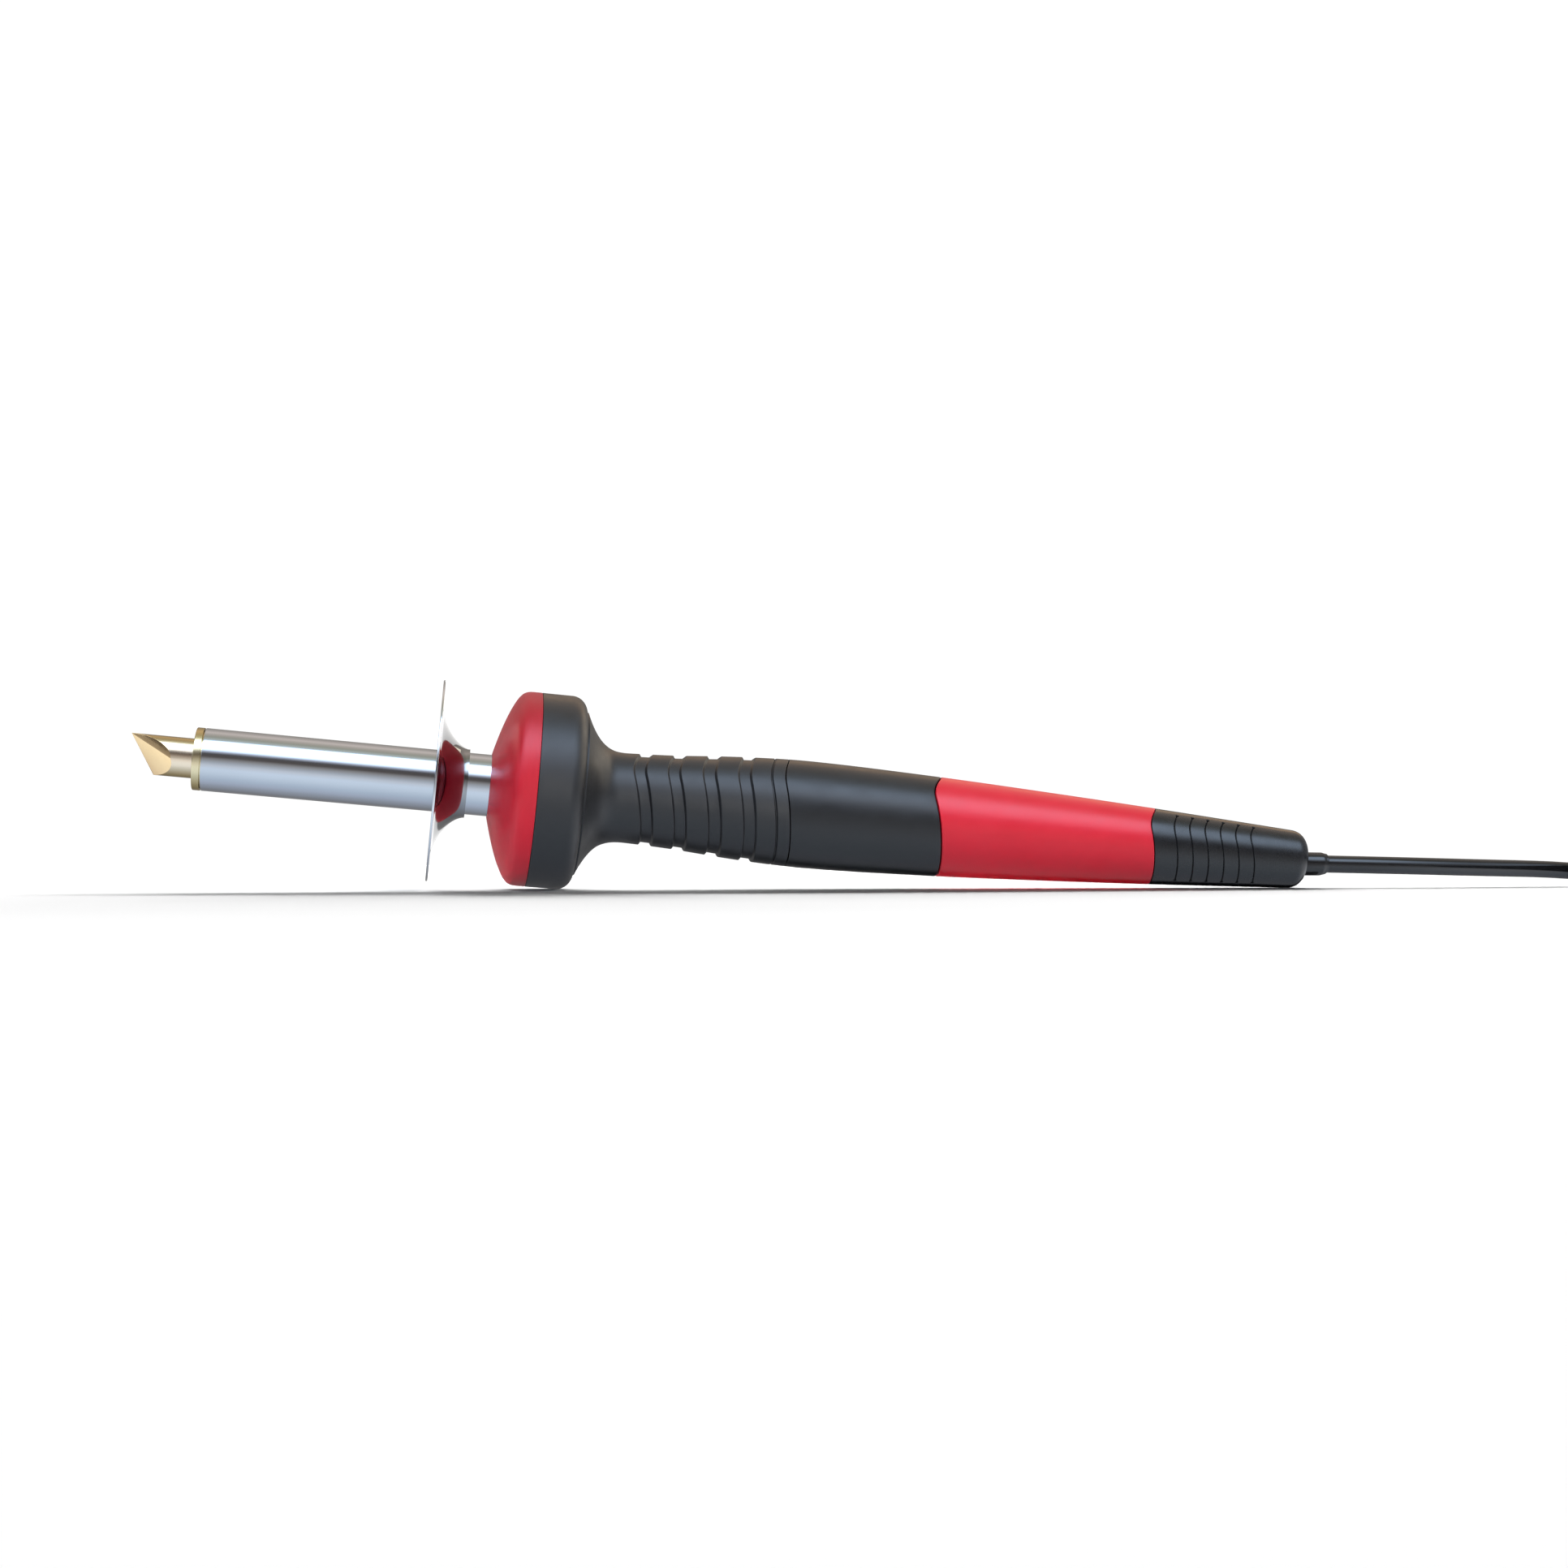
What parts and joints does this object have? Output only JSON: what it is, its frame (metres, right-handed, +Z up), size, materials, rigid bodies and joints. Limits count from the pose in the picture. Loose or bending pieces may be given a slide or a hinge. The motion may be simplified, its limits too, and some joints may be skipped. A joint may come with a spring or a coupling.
{
  "type": "soldering iron",
  "caption": "Mains soldering iron for stained glass: wedge-faceted plated tip, steel barrel with round heat guard, flared grip handle, and a coiled cord with an earthed plug.",
  "frame": {"origin": "on the surface the iron rests on, under the middle of the iron without its cord", "axes": "+X horizontally from the tip to the tail and the cord, +Z up; the iron lies on its nose ring and its tail, so its own axis slopes 4.94 degrees down towards +X"},
  "size_m": [0.4995, 0.0786, 0.0506],
  "materials": {
    "plated_gold": "satin gold-coloured plating",
    "screw_steel": "blackened steel",
    "polished_steel": "polished",
    "guard_steel": "polished",
    "zinc_plate": "zinc plated",
    "heater_wire": "oxidised",
    "nickel_lead": "drawn",
    "ceramic": "unglazed",
    "mica": "matte",
    "red_plastic": "satin",
    "black_plastic": "satin, fine texture",
    "black_smooth": "satin",
    "core_plastic": "matte",
    "splice_nylon": "matte",
    "insulation_brown": "matte",
    "insulation_blue": "matte",
    "insulation_green": "matte",
    "glass_sleeve": "woven glass fibre",
    "cord_rubber": "satin",
    "plug_rubber": "matte",
    "plug_brass": "nickel plated",
    "clamp_brass": "turned",
    "tie_strap": "woven strap"
  },
  "bodies": {
    "iron": {"tip_bush": "plated_gold", "barrel": "polished_steel", "heater_former": "ceramic", "heater_winding": "heater_wire", "mica_sleeve": "mica", "end_insulator": "ceramic", "heat_guard": "guard_steel", "barrel_flange": "zinc_plate", "flange_screw_1": "zinc_plate", "flange_screw_2": "zinc_plate", "flange_screw_3": "zinc_plate", "front_cover": "red_plastic", "front_grip": "black_plastic", "middle_shell": "black_smooth", "red_sleeve": "red_plastic", "rear_shell": "black_smooth", "handle_core": "core_plastic", "heater_lead_live": "nickel_lead", "heater_lead_neutral": "nickel_lead", "earth_lead": "nickel_lead", "lead_sleeve_live": "glass_sleeve", "lead_sleeve_neutral": "glass_sleeve", "splice_live": "splice_nylon", "splice_neutral": "splice_nylon", "splice_earth": "splice_nylon", "conductor_live": "insulation_brown", "conductor_neutral": "insulation_blue", "conductor_earth": "insulation_green", "cord_inner": "cord_rubber", "cord_clamp": "clamp_brass", "clamp_screw": "screw_steel", "strain_relief": "cord_rubber", "power_cord": "cord_rubber", "plug_lead": "cord_rubber", "cord_coil": "cord_rubber", "coil_tie": "tie_strap", "plug_relief": "plug_rubber", "plug_body": "plug_rubber", "plug_blade_live": "plug_brass", "plug_blade_neutral": "plug_brass", "plug_earth_pin": "plug_brass"},
    "tip": {"soldering_tip": "plated_gold"},
    "set_screw": {"tip_set_screw": "screw_steel"}
  },
  "joints": [
    {"name": "tip_slide", "type": "slide", "parent": "iron", "child": "tip", "axis": [-0.9963, 0, 0.0862], "range_m": [0, 0.048]},
    {"name": "set_screw_travel", "type": "slide", "parent": "iron", "child": "set_screw", "axis": [0, 1, 0], "range_m": [0, 0.002]}
  ]
}
